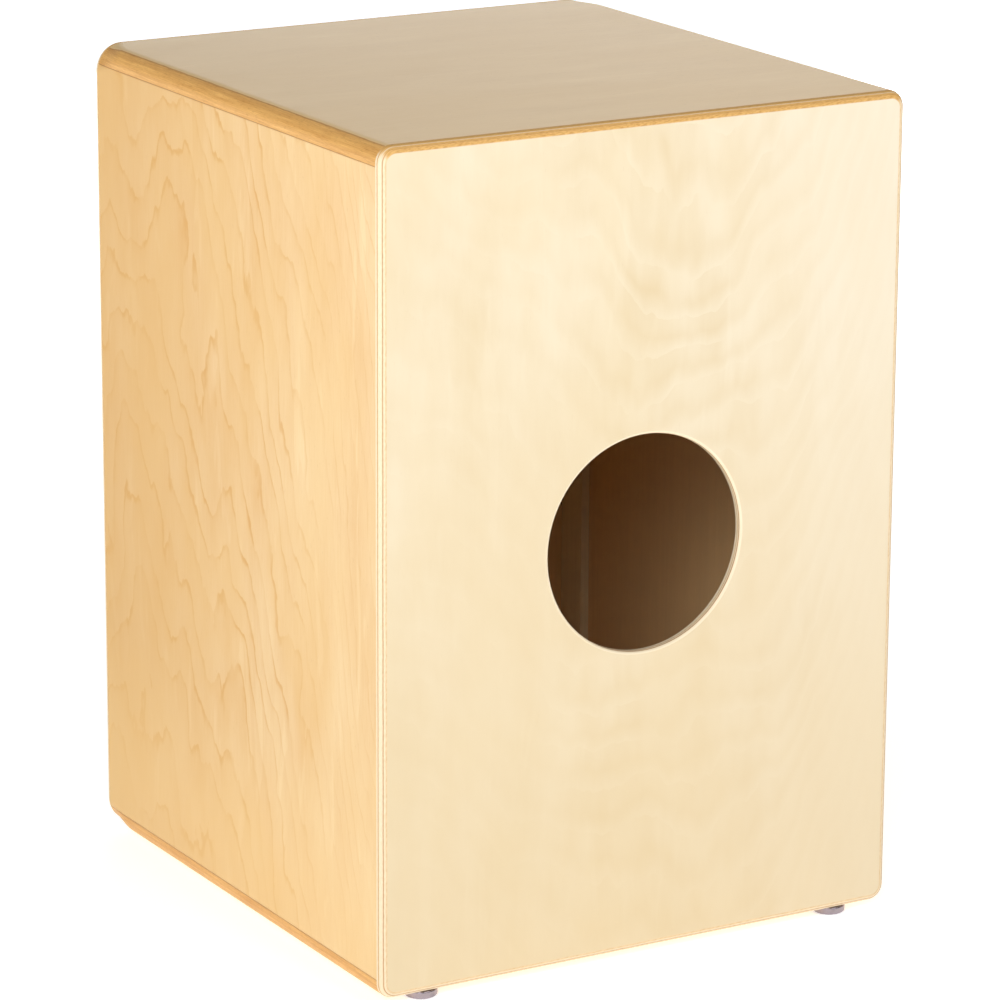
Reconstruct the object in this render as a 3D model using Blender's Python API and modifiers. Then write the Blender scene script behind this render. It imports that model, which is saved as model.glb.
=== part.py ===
"""A cajon: a plywood box drum with a thin playing face (the tapa) and a sound hole in the rear panel.

+Z is up, the tapa faces -Y, and the player, who sits on top facing -Y, has +X on the left. The origin
is on the floor under the middle of the box. Sizes are in metres.
"""

import math

import bmesh
import bpy
from mathutils import Vector

# The box
WIDTH = 0.350
BOX_HEIGHT = 0.500
BOARD_DEPTH = 0.350
BOARD = 0.012
REAR_THICKNESS = 0.005
TAPA_THICKNESS = 0.003
GAP = 0.0003
FOOT_HEIGHT = 0.005

# Rounded edges of the box
REAR_CORNER = 0.010
FRONT_CORNER = 0.017
CORNER_BLEND = 0.025
REAR_EDGE = 0.0047
TAPA_EDGE = 0.0018
CORNER_STEPS = 6
EDGE_STEPS = 4

# The sound hole, clear radius and rounded rim
HOLE_RADIUS = 0.065
HOLE_RIM = 0.0018

# The strips behind the tapa
STRIP_THICKNESS = 0.006
STRIP_DEPTH = 0.025

# The feet: domed glides, each on a nail
FOOT_RADIUS = 0.010
FOOT_ROUNDING = 0.0015
FOOT_X = 0.142
FOOT_INSET = 0.012
NAIL_RADIUS = 0.00125
NAIL_TIP_HEIGHT = 0.0155
NAIL_SEAT = 0.0024

# The tapa's countersunk screws
SCREW_RADIUS = 0.0016
SCREW_LENGTH = 0.018
SCREW_HEAD_RADIUS = 0.0035
SCREW_HEAD_HEIGHT = 0.0019
SCREW_SINK = 0.0002
SCREW_X_SHARES = (-1.0, -0.5, 0.0, 0.5, 1.0)
SCREW_X_REACH = 0.155
SIDE_SCREW_SHARES = (-0.5, 0.0, 0.5)
SCREW_SIDES = 12

# The snare strings and their anchors
STRING_RADIUS = 0.0004
STRING_X = 0.050
STRING_HALF_SPACING = 0.008
STRING_TO_TAPA = 0.0011
ANCHOR_HEIGHT = 0.016
ANCHOR_HALF_WIDTH = 0.014
ANCHOR_DEPTH = 0.015

# The string tension adjusters: an M6 bolt in a flanged bush lifts or lowers a threaded carriage
BOLT_RADIUS = 0.003
BOLT_TOP = 0.072
BOLT_HEAD_RADIUS = 0.005
BOLT_HEAD_HEIGHT = 0.006
BOLT_SOCKET_FLATS = 0.005
BOLT_SOCKET_DEPTH = 0.003
BOLT_TO_TAPA = 0.0113
BUSH_RADIUS = 0.008
BUSH_FLANGE_RADIUS = 0.011
BUSH_FLANGE = 0.0012
BUSH_SHOULDER = 0.003
RUNNING_GAP = 0.00015
CARRIAGE_HALF_WIDTH = 0.012
CARRIAGE_BOTTOM = 0.040
CARRIAGE_HEIGHT = 0.012
BRACKET_THICKNESS = 0.0015
BRACKET_TOP = 0.068
BRACKET_FOOT = 0.021
BRACKET_BEND = 0.003
BRACKET_SCREW_HALF_SPACING = 0.007
BRACKET_SCREW_BACK = 0.0125
BRACKET_SCREW_LENGTH = 0.0105
PAN_HEAD_RADIUS = 0.0033
PAN_HEAD_HEIGHT = 0.002

# Planes of the box
TOTAL_DEPTH = TAPA_THICKNESS + GAP + BOARD_DEPTH + GAP + REAR_THICKNESS
FRONT_Y = -TOTAL_DEPTH / 2
REAR_Y = TOTAL_DEPTH / 2
TAPA_BACK_Y = FRONT_Y + TAPA_THICKNESS
BOARD_FRONT_Y = TAPA_BACK_Y + GAP
BOARD_REAR_Y = BOARD_FRONT_Y + BOARD_DEPTH
BOX_BOTTOM = FOOT_HEIGHT
BOX_TOP = BOX_BOTTOM + BOX_HEIGHT
BOX_MIDDLE = (BOX_BOTTOM + BOX_TOP) / 2
FLOOR_OF_BOX = BOX_BOTTOM + BOARD
CEILING_OF_BOX = BOX_TOP - BOARD
SIDE_INNER_X = WIDTH / 2 - BOARD
STRIP_BACK_Y = BOARD_FRONT_Y + STRIP_DEPTH
STRING_Y = TAPA_BACK_Y + STRING_TO_TAPA
BOLT_Y = TAPA_BACK_Y + BOLT_TO_TAPA

# Colour, roughness and metallic value of each kind of piece
FINISHES = {
    "side_ply": ((0.86, 0.66, 0.40), 0.45, 0.0),
    "panel_ply": ((0.90, 0.76, 0.55), 0.45, 0.0),
    "strip_wood": ((0.80, 0.58, 0.34), 0.60, 0.0),
    "anchor_wood": ((0.62, 0.40, 0.22), 0.55, 0.0),
    "nickel": ((0.72, 0.70, 0.70), 0.22, 1.0),
    "black_steel": ((0.05, 0.05, 0.055), 0.40, 1.0),
    "zinc_steel": ((0.62, 0.63, 0.65), 0.35, 1.0),
    "brass": ((0.78, 0.60, 0.28), 0.30, 1.0),
    "aluminium": ((0.74, 0.75, 0.77), 0.38, 1.0),
    "string_steel": ((0.66, 0.66, 0.68), 0.28, 1.0),
}


def clear_scene():
    for obj in list(bpy.data.objects):
        bpy.data.objects.remove(obj, do_unlink=True)


def new_collection(name, parent):
    made = bpy.data.collections.new(name)
    parent.children.link(made)
    return made


def link(name, mesh, collection, location=(0, 0, 0)):
    obj = bpy.data.objects.new(name, mesh)
    obj.location = location
    collection.objects.link(obj)
    if collection is not PARTS:
        obj.hide_render = True
        obj.display_type = "WIRE"
    return obj


def finish(obj, kind):
    """Gives the piece a material of its own."""
    colour, roughness, metallic = FINISHES[kind]
    material = bpy.data.materials.new(obj.name)
    material.use_nodes = True
    shader = material.node_tree.nodes["Principled BSDF"]
    shader.inputs["Base Color"].default_value = (*colour, 1.0)
    shader.inputs["Roughness"].default_value = roughness
    shader.inputs["Metallic"].default_value = metallic
    obj.data.materials.append(material)
    return obj


def cube_mesh(size):
    shape = bmesh.new()
    bmesh.ops.create_cube(shape, size=1.0)
    bmesh.ops.scale(shape, vec=size, verts=shape.verts)
    return shape


def to_object(name, shape, collection, location=(0, 0, 0)):
    mesh = bpy.data.meshes.new(name)
    shape.to_mesh(mesh)
    shape.free()
    return link(name, mesh, collection, location)


def box(name, low, high, collection):
    """A box between two opposite corners."""
    low, high = Vector(low), Vector(high)
    return to_object(name, cube_mesh(high - low), collection, (low + high) / 2)


def plate(name, low_y, high_y, corner, edge, outer_sign):
    """A sheet with the outline of the box, its corners rounded, and its outer edge rounded on one side."""
    thickness = high_y - low_y
    shape = cube_mesh(Vector((WIDTH, thickness, BOX_HEIGHT)))
    across = [e for e in shape.edges if abs(e.verts[0].co.y - e.verts[1].co.y) > thickness / 2]
    bmesh.ops.bevel(
        shape, geom=across, offset=corner, segments=CORNER_STEPS, profile=0.5, affect="EDGES"
    )
    outer = [e for e in shape.edges if all(v.co.y * outer_sign > thickness / 4 for v in e.verts)]
    bmesh.ops.bevel(
        shape, geom=outer, offset=edge, segments=EDGE_STEPS, profile=0.5, affect="EDGES"
    )
    return to_object(name, shape, PARTS, (0, (low_y + high_y) / 2, BOX_MIDDLE))


def turned(name, profile, collection, steps, location=(0, 0, 0), tilt=0.0):
    """A round piece. The profile is (radius, height) points down its outer side, on the Z axis at both ends
    or a closed ring. A tilt of 90 degrees turns the piece's top to -Y, and -90 degrees to +Y."""
    shape = bmesh.new()
    points = [shape.verts.new((radius, 0, height)) for radius, height in profile]
    for first, second in zip(points, points[1:]):
        shape.edges.new((first, second))
    if profile[0][0] > 0:
        shape.edges.new((points[-1], points[0]))
    obj = to_object(name, shape, collection, location)
    obj.rotation_euler.x = math.radians(tilt)
    screw = obj.modifiers.new("turn", "SCREW")
    screw.steps = steps
    screw.render_steps = steps
    screw.use_merge_vertices = True
    screw.merge_threshold = 1e-6
    screw.use_smooth_shade = True
    return obj


def arc(centre, radius, start, end, steps):
    """Points of an arc about (radius, height), with angles in degrees from the outward direction."""
    angles = [math.radians(start + (end - start) * k / steps) for k in range(steps + 1)]
    return [(centre[0] + radius * math.cos(a), centre[1] + radius * math.sin(a)) for a in angles]


def cylinder_profile(radius, bottom, top):
    return [(0, top), (radius, top), (radius, bottom), (0, bottom)]


def boolean(obj, operation, other):
    modifier = obj.modifiers.new(operation.lower(), "BOOLEAN")
    modifier.operation = operation
    modifier.solver = "EXACT"
    if isinstance(other, bpy.types.Collection):
        modifier.operand_type = "COLLECTION"
        modifier.collection = other
    else:
        modifier.object = other


def soften(obj, width, segments=1):
    bevel = obj.modifiers.new("soften", "BEVEL")
    bevel.width = width
    bevel.segments = segments
    bevel.limit_method = "ANGLE"


def corner_radius(y):
    """The box's corner radius along its depth: larger at the tapa, easing to the rear one."""
    share = min(max((y - BOARD_FRONT_Y) / CORNER_BLEND, 0.0), 1.0)
    eased = share * share * (3 - 2 * share)
    return FRONT_CORNER + (REAR_CORNER - FRONT_CORNER) * eased


def outer_form(collection):
    """The outer shape that the four boards are trimmed to: rounded rectangles lofted along the depth."""
    overrun = 0.002
    blend = [BOARD_FRONT_Y + CORNER_BLEND * k / EDGE_STEPS for k in range(EDGE_STEPS + 1)]
    shape = bmesh.new()
    rings = []
    for y in [BOARD_FRONT_Y - overrun, *blend, BOARD_REAR_Y + overrun]:
        radius = corner_radius(y)
        ring = []
        for quarter, (side, end) in enumerate(((1, 1), (-1, 1), (-1, -1), (1, -1))):
            x = side * (WIDTH / 2 - radius)
            z = BOX_MIDDLE + end * (BOX_HEIGHT / 2 - radius)
            start = 90 * quarter
            for across, up in arc((x, z), radius, start, start + 90, CORNER_STEPS):
                ring.append(shape.verts.new((across, y, up)))
        rings.append(ring)
    count = len(rings[0])
    for near, far in zip(rings, rings[1:]):
        for k in range(count):
            after = (k + 1) % count
            shape.faces.new((near[k], near[after], far[after], far[k]))
    shape.faces.new(rings[0])
    shape.faces.new(rings[-1])
    bmesh.ops.recalc_face_normals(shape, faces=shape.faces)
    return to_object("outer_form", shape, collection)


def screw_profile(head_radius, head_height, shank_radius, length, dome):
    """A screw on Z with its head's underside, or a countersunk head's top, at height 0."""
    tip = 2 * shank_radius
    if dome:
        head = [(0, head_height), (0.6 * head_radius, 0.85 * head_height), (head_radius, 0.35 * head_height)]
        head += [(head_radius, 0), (shank_radius, 0)]
    else:
        head = [(0, 0), (head_radius, 0), (shank_radius, -head_height)]
    return head + [(shank_radius, tip - length), (0, -length)]


def tapa_screw_places():
    """Name and (x, z) of each screw round the tapa."""
    reach_x = WIDTH / 2 - BOARD / 2
    reach_z = BOX_HEIGHT / 2 - BOARD / 2
    for row, sign in (("top", 1), ("bottom", -1)):
        for number, share in enumerate(SCREW_X_SHARES, 1):
            yield f"tapa_screw_{row}_{number}", share * SCREW_X_REACH, BOX_MIDDLE + sign * reach_z
    for side, sign in (("left", 1), ("right", -1)):
        for number, share in enumerate(SIDE_SCREW_SHARES, 1):
            yield f"tapa_screw_{side}_{number}", sign * reach_x, BOX_MIDDLE + share * reach_z


def make_tapa_screws(holes):
    screw = screw_profile(SCREW_HEAD_RADIUS, SCREW_HEAD_HEIGHT, SCREW_RADIUS, SCREW_LENGTH, False)
    shank = SCREW_RADIUS + GAP
    rim = SCREW_HEAD_RADIUS + GAP
    hole = [(0, 0.002), (rim, 0.002), (rim, SCREW_SINK), (shank, -SCREW_HEAD_HEIGHT)]
    hole += [(shank, -SCREW_LENGTH - GAP), (0, -SCREW_LENGTH - GAP)]
    for name, x, z in tapa_screw_places():
        place = (x, FRONT_Y + SCREW_SINK, z)
        finish(turned(name, screw, PARTS, SCREW_SIDES, place, 90), "black_steel")
        turned(name + "_hole", hole, holes, SCREW_SIDES, place, 90)


def make_feet(holes):
    seat_radius = NAIL_RADIUS + GAP
    top = FOOT_HEIGHT - GAP
    flat = FOOT_RADIUS - FOOT_ROUNDING
    cap = [(0, top - NAIL_SEAT), (seat_radius, top - NAIL_SEAT), (seat_radius, top), (FOOT_RADIUS, top)]
    cap += arc((flat, FOOT_ROUNDING), FOOT_ROUNDING, 0, -90, EDGE_STEPS)
    cap += [(0, 0)]
    nail_bottom = top - NAIL_SEAT + GAP
    nail = [(0, NAIL_TIP_HEIGHT), (NAIL_RADIUS, NAIL_TIP_HEIGHT - 0.003), (NAIL_RADIUS, nail_bottom)]
    nail += [(0, nail_bottom)]
    hole = cylinder_profile(seat_radius, BOX_BOTTOM - 0.001, NAIL_TIP_HEIGHT + GAP)
    foot_y = REAR_Y - FOOT_INSET
    for row, y in (("front", -foot_y), ("rear", foot_y)):
        for side, x in (("left", FOOT_X), ("right", -FOOT_X)):
            place = (x, y, 0)
            finish(turned(f"foot_{row}_{side}", cap, PARTS, 24, place), "nickel")
            finish(turned(f"foot_nail_{row}_{side}", nail, PARTS, SCREW_SIDES, place), "zinc_steel")
            turned(f"foot_nail_hole_{row}_{side}", hole, holes, SCREW_SIDES, place)


def make_boards(form, tapa_holes, bottom_holes):
    beyond = 0.002
    half = WIDTH / 2 + beyond
    near, far = BOARD_FRONT_Y, BOARD_REAR_Y
    top = box("top_board", (-half, near, CEILING_OF_BOX), (half, far, BOX_TOP + beyond), PARTS)
    bottom = box("bottom_board", (-half, near, BOX_BOTTOM - beyond), (half, far, FLOOR_OF_BOX), PARTS)
    low, high = FLOOR_OF_BOX + GAP, CEILING_OF_BOX - GAP
    left = box("side_panel_left", (SIDE_INNER_X, near, low), (half, far, high), PARTS)
    right = box("side_panel_right", (-half, near, low), (-SIDE_INNER_X, far, high), PARTS)
    for board in (top, bottom, left, right):
        boolean(board, "INTERSECT", form)
        boolean(board, "DIFFERENCE", tapa_holes)
        finish(board, "side_ply")
    boolean(bottom, "DIFFERENCE", bottom_holes)


def make_rear_panel(cutters):
    panel = plate("rear_panel", BOARD_REAR_Y + GAP, REAR_Y, REAR_CORNER, REAR_EDGE, 1)
    half = REAR_THICKNESS / 2
    beyond = half + 0.002
    wide = HOLE_RADIUS + HOLE_RIM
    outer_rim = [(2 * wide - r, h) for r, h in arc((wide, half - HOLE_RIM), HOLE_RIM, 90, 0, EDGE_STEPS)]
    inner_rim = [(r, -h) for r, h in reversed(outer_rim)]
    profile = [(0, beyond), (wide, beyond), *outer_rim, *inner_rim, (wide, -beyond), (0, -beyond)]
    middle_y = (BOARD_REAR_Y + GAP + REAR_Y) / 2
    hole = turned("sound_hole", profile, cutters, 56, (0, middle_y, BOX_MIDDLE), -90)
    boolean(panel, "DIFFERENCE", hole)
    finish(panel, "panel_ply")


def make_tapa(holes):
    tapa = plate("tapa", FRONT_Y, TAPA_BACK_Y, FRONT_CORNER, TAPA_EDGE, -1)
    boolean(tapa, "DIFFERENCE", holes)
    finish(tapa, "panel_ply")


def make_strips(bolt_holes):
    near, far = BOARD_FRONT_Y, STRIP_BACK_Y
    outer = SIDE_INNER_X - GAP
    inner = outer - STRIP_THICKNESS
    low, high = FLOOR_OF_BOX + GAP, CEILING_OF_BOX - GAP
    half = inner - GAP
    strips = (
        box("tapa_strip_left", (inner, near, low), (outer, far, high), PARTS),
        box("tapa_strip_right", (-outer, near, low), (-inner, far, high), PARTS),
        box("tapa_strip_top", (-half, near, high - STRIP_THICKNESS), (half, far, high), PARTS),
        box("tapa_strip_bottom", (-half, near, low), (half, far, low + STRIP_THICKNESS), PARTS),
    )
    boolean(strips[-1], "DIFFERENCE", bolt_holes)
    for strip in strips:
        finish(strip, "strip_wood")


def string_piece(name, x, bottom, top):
    curve = bpy.data.curves.new(name, "CURVE")
    curve.dimensions = "3D"
    curve.bevel_depth = STRING_RADIUS
    curve.bevel_resolution = 1
    curve.use_fill_caps = True
    spline = curve.splines.new("POLY")
    spline.points.add(1)
    spline.points[0].co = (0, 0, bottom, 1)
    spline.points[1].co = (0, 0, top, 1)
    return finish(link(name, curve, PARTS, (x, STRING_Y, 0)), "string_steel")


def make_strings(side, x):
    """One pair of strings along the back of the tapa, and the block under the top strip that holds them."""
    top = CEILING_OF_BOX - 2 * GAP - STRIP_THICKNESS
    bottom = top - ANCHOR_HEIGHT
    front = STRING_Y - 2 * STRING_RADIUS
    low = (x - ANCHOR_HALF_WIDTH, front, bottom)
    high = (x + ANCHOR_HALF_WIDTH, front + ANCHOR_DEPTH, top)
    anchor = box(f"string_anchor_{side}", low, high, PARTS)
    soften(anchor, 0.001)
    finish(anchor, "anchor_wood")
    carriage_top = CARRIAGE_BOTTOM + CARRIAGE_HEIGHT
    for place, offset in (("outer", 1), ("inner", -1)):
        string_x = x + math.copysign(STRING_HALF_SPACING, x) * offset
        string_piece(f"string_{side}_{place}", string_x, carriage_top + GAP, bottom - GAP)


def make_bolt(side, x, cutters):
    """The tension bolt. Its origin is on the axis that it turns about."""
    head_top = FLOOR_OF_BOX - BUSH_SHOULDER - GAP
    head_bottom = head_top - BOLT_HEAD_HEIGHT
    chamfer = 0.0006
    profile = [(0, BOLT_TOP), (BOLT_RADIUS - chamfer, BOLT_TOP), (BOLT_RADIUS, BOLT_TOP - chamfer)]
    profile += [(BOLT_RADIUS, head_top), (BOLT_HEAD_RADIUS, head_top)]
    profile += [(BOLT_HEAD_RADIUS, head_bottom + chamfer), (BOLT_HEAD_RADIUS - chamfer, head_bottom)]
    profile += [(0, head_bottom)]
    bolt = turned(f"tension_bolt_{side}", profile, PARTS, 16, (x, BOLT_Y, 0))
    corner = BOLT_SOCKET_FLATS / 2 / math.cos(math.radians(30))
    socket = cylinder_profile(corner, head_bottom - 0.001, head_bottom + BOLT_SOCKET_DEPTH)
    boolean(bolt, "DIFFERENCE", turned(f"bolt_socket_{side}", socket, cutters, 6, (x, BOLT_Y, 0)))
    finish(bolt, "black_steel")


def make_bush(side, x, holes):
    """The flanged bush. The bolt's head sits in its recess and bears on its shoulder from below."""
    flange_top = BOX_BOTTOM - GAP
    flange_bottom = flange_top - BUSH_FLANGE
    shoulder = FLOOR_OF_BOX - BUSH_SHOULDER
    recess = BOLT_HEAD_RADIUS + 0.0005
    bore = BOLT_RADIUS + GAP
    outer = BUSH_RADIUS
    profile = [(outer, FLOOR_OF_BOX), (outer, flange_top), (BUSH_FLANGE_RADIUS, flange_top)]
    profile += [(BUSH_FLANGE_RADIUS, flange_bottom), (recess, flange_bottom), (recess, shoulder)]
    profile += [(bore, shoulder), (bore, FLOOR_OF_BOX)]
    finish(turned(f"bolt_bush_{side}", profile, PARTS, 24, (x, BOLT_Y, 0)), "brass")
    hole = cylinder_profile(outer + GAP, BOX_BOTTOM - 0.001, FLOOR_OF_BOX + 0.001)
    turned(f"bush_hole_{side}", hole, holes, 24, (x, BOLT_Y, 0))


def make_carriage(side, x, cutters):
    """The threaded block that the bolt draws down and the two strings pull up."""
    front = STRING_Y - 1.5 * STRING_RADIUS
    back = STRIP_BACK_Y
    top = CARRIAGE_BOTTOM + CARRIAGE_HEIGHT
    low = (x - CARRIAGE_HALF_WIDTH, front, CARRIAGE_BOTTOM)
    high = (x + CARRIAGE_HALF_WIDTH, back, top)
    carriage = box(f"string_carriage_{side}", low, high, PARTS)
    soften(carriage, 0.0004)
    thread = cylinder_profile(BOLT_RADIUS + RUNNING_GAP, CARRIAGE_BOTTOM - 0.001, top + 0.001)
    boolean(carriage, "DIFFERENCE", turned(f"carriage_thread_{side}", thread, cutters, 16, (x, BOLT_Y, 0)))
    finish(carriage, "aluminium")


def make_bracket(side, x, cutters, holes):
    """The bent plate behind the carriage that keeps it from turning, screwed to the bottom board."""
    half = BRACKET_THICKNESS / 2
    plate_y = STRIP_BACK_Y + GAP + half
    foot_z = FLOOR_OF_BOX + GAP + half
    bend = BRACKET_BEND
    bent = arc((plate_y + bend, foot_z + bend), bend, 180, 270, 3)
    path = [(plate_y, BRACKET_TOP), *bent, (plate_y + BRACKET_FOOT, foot_z)]
    shape = bmesh.new()
    rows = [[shape.verts.new((s * CARRIAGE_HALF_WIDTH, y, z)) for s in (-1, 1)] for y, z in path]
    for (a, b), (c, d) in zip(rows, rows[1:]):
        shape.faces.new((a, b, d, c))
    bracket = to_object(f"guide_bracket_{side}", shape, PARTS, (x, 0, 0))
    thicken = bracket.modifiers.new("thicken", "SOLIDIFY")
    thicken.thickness = BRACKET_THICKNESS
    thicken.offset = 0
    thicken.use_even_offset = True
    screw = screw_profile(PAN_HEAD_RADIUS, PAN_HEAD_HEIGHT, SCREW_RADIUS, BRACKET_SCREW_LENGTH, True)
    head_z = foot_z + half + GAP
    hole = cylinder_profile(SCREW_RADIUS + GAP, -BRACKET_SCREW_LENGTH - GAP, 0.001)
    for place, sign in (("outer", 1), ("inner", -1)):
        screw_x = x + math.copysign(BRACKET_SCREW_HALF_SPACING, x) * sign
        spot = (screw_x, plate_y + BRACKET_SCREW_BACK, head_z)
        name = f"bracket_screw_{side}_{place}"
        finish(turned(name, screw, PARTS, SCREW_SIDES, spot), "zinc_steel")
        turned(name + "_hole", hole, holes, SCREW_SIDES, spot)
        own = turned(name + "_bracket_hole", hole, cutters, SCREW_SIDES, spot)
        boolean(bracket, "DIFFERENCE", own)
    finish(bracket, "zinc_steel")


def make_bolt_clearances(holes):
    clearance = cylinder_profile(BOLT_RADIUS + 2 * GAP, FLOOR_OF_BOX, FLOOR_OF_BOX + 0.010)
    for side, x in (("left", STRING_X), ("right", -STRING_X)):
        turned(f"bolt_clearance_{side}", clearance, holes, 16, (x, BOLT_Y, 0))


clear_scene()
PARTS = new_collection("cajon", bpy.context.scene.collection)
CUTTERS = new_collection("cutters", bpy.context.scene.collection)
TAPA_SCREW_HOLES = new_collection("tapa_screw_holes", CUTTERS)
BOTTOM_BOARD_HOLES = new_collection("bottom_board_holes", CUTTERS)
BOLT_CLEARANCES = new_collection("bolt_clearances", CUTTERS)

make_boards(outer_form(CUTTERS), TAPA_SCREW_HOLES, BOTTOM_BOARD_HOLES)
make_rear_panel(CUTTERS)
make_tapa(TAPA_SCREW_HOLES)
make_strips(BOLT_CLEARANCES)
make_bolt_clearances(BOLT_CLEARANCES)
make_tapa_screws(TAPA_SCREW_HOLES)
make_feet(BOTTOM_BOARD_HOLES)
for SIDE, MIDDLE_X in (("left", STRING_X), ("right", -STRING_X)):
    make_strings(SIDE, MIDDLE_X)
    make_bolt(SIDE, MIDDLE_X, CUTTERS)
    make_bush(SIDE, MIDDLE_X, BOTTOM_BOARD_HOLES)
    make_carriage(SIDE, MIDDLE_X, CUTTERS)
    make_bracket(SIDE, MIDDLE_X, CUTTERS, BOTTOM_BOARD_HOLES)
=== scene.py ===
import math

import bmesh
import bpy
from mathutils import Matrix, Vector


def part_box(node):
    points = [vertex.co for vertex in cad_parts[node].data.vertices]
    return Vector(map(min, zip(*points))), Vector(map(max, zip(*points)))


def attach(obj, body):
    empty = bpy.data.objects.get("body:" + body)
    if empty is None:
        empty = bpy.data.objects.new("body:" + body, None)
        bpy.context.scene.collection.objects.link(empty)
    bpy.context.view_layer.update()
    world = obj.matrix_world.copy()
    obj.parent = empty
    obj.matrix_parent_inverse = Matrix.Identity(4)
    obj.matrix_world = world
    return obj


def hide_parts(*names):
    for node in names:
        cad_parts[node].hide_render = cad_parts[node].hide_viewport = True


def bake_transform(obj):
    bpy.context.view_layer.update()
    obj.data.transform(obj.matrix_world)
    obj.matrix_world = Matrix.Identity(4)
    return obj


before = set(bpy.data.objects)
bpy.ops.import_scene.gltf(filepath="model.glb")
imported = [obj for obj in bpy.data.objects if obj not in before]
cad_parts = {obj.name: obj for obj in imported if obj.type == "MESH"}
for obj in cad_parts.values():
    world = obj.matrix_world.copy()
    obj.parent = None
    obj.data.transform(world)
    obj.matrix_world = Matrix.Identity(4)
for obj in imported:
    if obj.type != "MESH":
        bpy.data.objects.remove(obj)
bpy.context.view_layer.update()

# Fine detail, in metres: eased edges, the loop that keeps a flat face flat, half the gap in a glued joint,
# and the chamfer at a thin sheet's back edge
EASED = 0.0002
SUPPORT = 0.0004
JOINT = 0.00004
BACK_CHAMFER = 0.00012

# Places read from the frame
TOP_LOW, TOP_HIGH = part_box("top_board")
BOTTOM_LOW, BOTTOM_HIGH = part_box("bottom_board")
TAPA_LOW, TAPA_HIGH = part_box("tapa")
REAR_LOW, REAR_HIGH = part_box("rear_panel")
SIDE_INNER_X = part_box("side_panel_left")[0].x
HALF_WIDTH = TOP_HIGH.x
BOX_TOP = TOP_HIGH.z
BOX_BOTTOM = BOTTOM_LOW.z
BOX_MIDDLE = (BOX_TOP + BOX_BOTTOM) / 2
HALF_HEIGHT = (BOX_TOP - BOX_BOTTOM) / 2
BOARD_FRONT_Y = TOP_LOW.y
BOARD_REAR_Y = REAR_LOW.y - JOINT

# Corners and edges of the box and the thickness of its four boards, as in the CAD model
FRONT_CORNER = 0.017
REAR_CORNER = 0.010
CORNER_BLEND = 0.025
REAR_EDGE = 0.0047
TAPA_EDGE = 0.0018
BOARD = 0.012

# The sound hole's clear radius, its rounded rim outside and its eased rim inside. The rim's colours, whose
# pale ground is a painted highlight, end between two distances from the hole.
HOLE_RADIUS = 0.065
HOLE_RIM = 0.0018
HOLE_BACK_RIM = 0.0005
RIM_COLOUR_FULL = 0.004
RIM_COLOUR_END = 0.008

# Radii of the holes for a bush and a screw's shank, and the gap round a screw's head
BUSH_HOLE = 0.00815
SCREW_SHANK_HOLE = 0.0019
SCREW_SEAT_GAP = 0.0002

# Countersunk screws: the head's straight edge and its full depth, the shank's radius, the point's length and
# the radius where it ends
SCREW_HEAD_EDGE = 0.00022
SCREW_HEAD_DEPTH = 0.0019
SCREW_SHANK = 0.0016
SCREW_POINT = 0.003
SCREW_TIP = 0.0002

# How far a cutting shape reaches past the faces that it opens
CUT_PAST = 0.001

# Where the top and bottom veneer ends over the rounded long edges, at the rear and at the tapa
VENEER_EDGE = 0.1685
VENEER_EDGE_FRONT = 0.1665

# Edges between faces that meet at a larger angle than this are sharp
SHARP_ANGLE = math.radians(35)

# The camera: its direction from the box, roll, place, focal length in millimetres and frame shift
CAMERA_AZIMUTH = math.radians(149.530)
CAMERA_ELEVATION = math.radians(15.638)
CAMERA_ROLL = math.radians(0.360)
CAMERA_PLACE = Vector((1.4550, 2.5088, 1.0470))
CAMERA_LENS = 177.93
CAMERA_SHIFT = (-0.0197, 0.0033)


# ---------------------------------------------------------------- meshes


def node_names(prefix):
    """The CAD nodes whose names start with a prefix, in alphabetical order."""
    return sorted(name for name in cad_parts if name.startswith(prefix))


def direction(azimuth, elevation):
    """A unit vector away from the box. The azimuth is 0 at the tapa and grows towards +X, in radians."""
    level = math.cos(elevation)
    return Vector((math.sin(azimuth) * level, -math.cos(azimuth) * level, math.sin(elevation)))


def new_piece(name, shape, materials, body="box"):
    """Turns a bmesh into a smooth-shaded piece that rides on a body."""
    bmesh.ops.recalc_face_normals(shape, faces=shape.faces)
    mesh = bpy.data.meshes.new(name)
    shape.to_mesh(mesh)
    shape.free()
    mesh.shade_smooth()
    mesh.set_sharp_from_angle(angle=SHARP_ANGLE)
    piece = bpy.data.objects.new(name, mesh)
    bpy.context.scene.collection.objects.link(piece)
    for material in materials:
        mesh.materials.append(material)
    if body:
        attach(piece, body)
    return piece


def bridge(shape, near, far):
    """Quads between two closed rings of as many points."""
    count = len(near)
    for k in range(count):
        after = (k + 1) % count
        shape.faces.new((near[k], near[after], far[after], far[k]))


def add_solid(shape, rings, wrapped=False):
    """Adds a solid through closed rings of points, capped, or joined from its last ring to its first."""
    rows = [[shape.verts.new(point) for point in ring] for ring in rings]
    for near, far in zip(rows, rows[1:]):
        bridge(shape, near, far)
    if wrapped:
        bridge(shape, rows[-1], rows[0])
    else:
        shape.faces.new(rows[0])
        shape.faces.new(rows[-1])


def loft(rings, wrapped=False):
    """A bmesh that holds one solid through rings of points."""
    shape = bmesh.new()
    add_solid(shape, rings, wrapped)
    return shape


def arc(centre, radius, start, end, steps):
    """Points of an arc in a plane, with angles in degrees."""
    angles = [math.radians(start + (end - start) * k / steps) for k in range(steps + 1)]
    return [(centre[0] + radius * math.cos(a), centre[1] + radius * math.sin(a)) for a in angles]


def circle(centre, radius, steps):
    """A closed circle's points in a plane, from angle 0 round."""
    return arc(centre, radius, 0, 360 - 360 / steps, steps - 1)


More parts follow.
